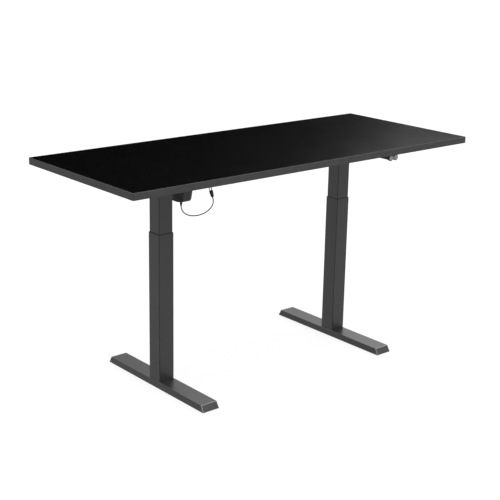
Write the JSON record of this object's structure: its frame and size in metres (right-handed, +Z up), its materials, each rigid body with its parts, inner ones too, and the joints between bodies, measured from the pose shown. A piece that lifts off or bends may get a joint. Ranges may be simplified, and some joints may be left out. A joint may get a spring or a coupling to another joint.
{
  "type": "height adjustable standing desk",
  "caption": "Rectangular worktop on two square telescopic legs with long flat feet, raised by a motor, a hexagonal cross shaft and lead screws, with a small button handset.",
  "frame": {"origin": "on the floor, under the centre of the worktop, with the feet on their levelling pads", "axes": "+Z up; +X along the worktop's length, to the right of a person at the desk; -Y towards that person, so +Y is the rear edge"},
  "size_m": [1.6, 0.65, 0.86],
  "materials": {
    "worktop_board": "black melamine-faced board, satin",
    "edge_plastic": "dark grey plastic edge band",
    "powder_coat": "fine-textured dark grey powder coat",
    "bare_steel": "plain",
    "zinc_steel": "zinc plated",
    "gear_steel": "machined",
    "brass": "machined",
    "cast_case": "cast, grey",
    "black_plastic": "fine-grained moulded plastic",
    "shroud_plastic": "satin moulded plastic",
    "guide_plastic": "smooth",
    "button_plastic": "smooth",
    "circuit_board": "satin",
    "cable_jacket": "smooth"
  },
  "bodies": {
    "base": {"left_foot_beam": "powder_coat", "right_foot_beam": "powder_coat", "left_foot_end_caps": "black_plastic", "right_foot_end_caps": "black_plastic", "foot_plates": "bare_steel", "base_plates": "bare_steel", "foot_bolts": "zinc_steel", "left_outer_tube": "powder_coat", "right_outer_tube": "powder_coat", "upper_guides": "guide_plastic", "nut_tubes": "bare_steel", "spindle_nuts": "brass"},
    "top": {"left_inner_tube": "powder_coat", "right_inner_tube": "powder_coat", "lower_guides": "guide_plastic", "head_plates": "powder_coat", "spindle_bearings": "gear_steel", "left_gearbox_housing": "cast_case", "right_gearbox_housing": "cast_case", "gearbox_covers": "cast_case", "front_rail": "powder_coat", "rear_rail": "powder_coat", "left_support_arm": "powder_coat", "right_support_arm": "powder_coat", "frame_bolts": "zinc_steel", "tabletop_screws": "zinc_steel", "tabletop_board": "worktop_board", "tabletop_edge_band": "edge_plastic", "motor_gearcase": "cast_case", "motor_can": "cast_case", "motor_shroud": "shroud_plastic", "motor_socket": "black_plastic", "control_box_shell": "black_plastic", "control_box_base": "powder_coat", "control_circuit_board": "circuit_board", "control_power_inlet": "black_plastic", "handset_shell": "black_plastic", "handset_back": "black_plastic", "handset_circuit_board": "circuit_board", "data_sockets": "black_plastic", "motor_lead": "cable_jacket", "motor_lead_plug": "black_plastic", "motor_lead_connector": "black_plastic", "control_lead_a": "cable_jacket", "control_lead_b": "cable_jacket"},
    "drive_shaft": {"hex_drive_shaft": "zinc_steel", "shaft_bevel_gears": "gear_steel", "worm_wheel": "brass"},
    "left_screw": {"left_spindle": "zinc_steel", "left_spindle_gear": "gear_steel"},
    "right_screw": {"right_spindle": "zinc_steel", "right_spindle_gear": "gear_steel"},
    "motor_shaft": {"motor_rotor": "gear_steel", "motor_worm": "gear_steel"},
    "up_button": {"handset_up_button": "button_plastic"},
    "down_button": {"handset_down_button": "button_plastic"},
    "left_front_leveller": {"left_front_leveller": "black_plastic"},
    "left_rear_leveller": {"left_rear_leveller": "black_plastic"},
    "right_front_leveller": {"right_front_leveller": "black_plastic"},
    "right_rear_leveller": {"right_rear_leveller": "black_plastic"}
  },
  "joints": [
    {"name": "height", "type": "slide", "parent": "base", "child": "top", "axis": [0, 0, 1], "range_m": [-0.14, 0.32]},
    {"name": "drive_shaft_spin", "type": "hinge", "parent": "top", "child": "drive_shaft", "pos_m": [0, 0.025, 0.814], "axis": [1, 0, 0], "continuous": true},
    {"name": "left_screw_spin", "type": "hinge", "parent": "top", "child": "left_screw", "pos_m": [-0.443, 0.025, 0.5], "axis": [0, 0, 1], "continuous": true},
    {"name": "right_screw_spin", "type": "hinge", "parent": "top", "child": "right_screw", "pos_m": [0.443, 0.025, 0.5], "axis": [0, 0, 1], "continuous": true},
    {"name": "motor_shaft_spin", "type": "hinge", "parent": "top", "child": "motor_shaft", "pos_m": [-0.353, 0.0413, 0.814], "axis": [0, 0, 1], "continuous": true},
    {"name": "up_button_press", "type": "slide", "parent": "top", "child": "up_button", "axis": [0, 1, 0], "range_m": [0, 0.001], "stiffness_N_per_m": 300, "springref_m": -0.004},
    {"name": "down_button_press", "type": "slide", "parent": "top", "child": "down_button", "axis": [0, 1, 0], "range_m": [0, 0.001], "stiffness_N_per_m": 300, "springref_m": -0.004},
    {"name": "left_front_leveller_screw", "type": "slide", "parent": "base", "child": "left_front_leveller", "axis": [0, 0, -1], "range_m": [0, 0.008]},
    {"name": "left_rear_leveller_screw", "type": "slide", "parent": "base", "child": "left_rear_leveller", "axis": [0, 0, -1], "range_m": [0, 0.008]},
    {"name": "right_front_leveller_screw", "type": "slide", "parent": "base", "child": "right_front_leveller", "axis": [0, 0, -1], "range_m": [0, 0.008]},
    {"name": "right_rear_leveller_screw", "type": "slide", "parent": "base", "child": "right_rear_leveller", "axis": [0, 0, -1], "range_m": [0, 0.008]}
  ],
  "couplings": [
    {"joint": "drive_shaft_spin", "follows": "height", "rad_per_m": -785.4},
    {"joint": "left_screw_spin", "follows": "height", "rad_per_m": 785.4},
    {"joint": "right_screw_spin", "follows": "height", "rad_per_m": 785.4},
    {"joint": "motor_shaft_spin", "follows": "height", "rad_per_m": 9424.8}
  ]
}
